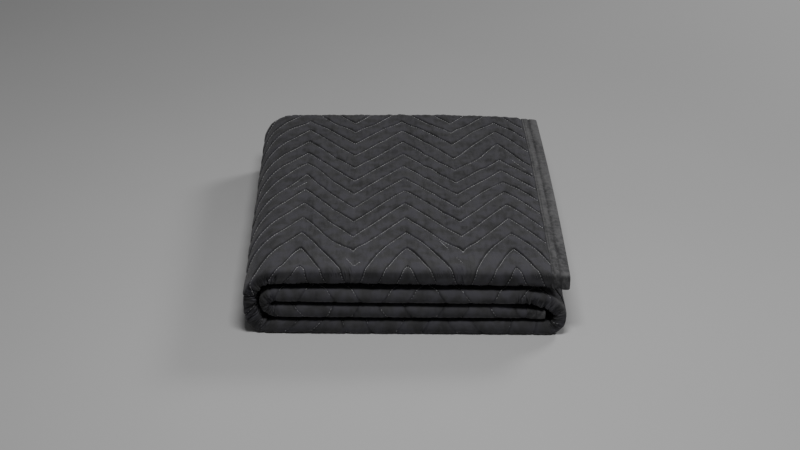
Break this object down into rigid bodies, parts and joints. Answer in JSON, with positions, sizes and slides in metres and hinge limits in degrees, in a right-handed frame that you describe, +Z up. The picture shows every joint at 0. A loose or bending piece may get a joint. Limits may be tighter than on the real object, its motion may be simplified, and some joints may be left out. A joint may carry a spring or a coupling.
{
  "type": "folded moving blanket",
  "caption": "Quilted moving blanket with zigzag stitching and taped edges, folded in thirds and then turned over itself into a flat, oblong pile.",
  "frame": {"origin": "on the surface it rests on, under the middle of the folded blanket's box", "axes": "+X runs across the pile towards the bound end that lies on top, +Y runs from the front folds to the rear folds, +Z is up"},
  "size_m": [0.52, 0.6116, 0.115],
  "materials": {
    "quilted_cloth": "matt charcoal nonwoven cloth, quilted over batting",
    "binding_tape": "matt grey woven tape with lengthwise ribs",
    "thread": "light grey quilting thread"
  },
  "bodies": {
    "root": {"quilt": "quilted_cloth", "end_binding_top": "binding_tape", "end_binding_inside": "binding_tape", "side_binding_rear": "binding_tape", "side_binding_tucked": "binding_tape"}
  },
  "joints": []
}
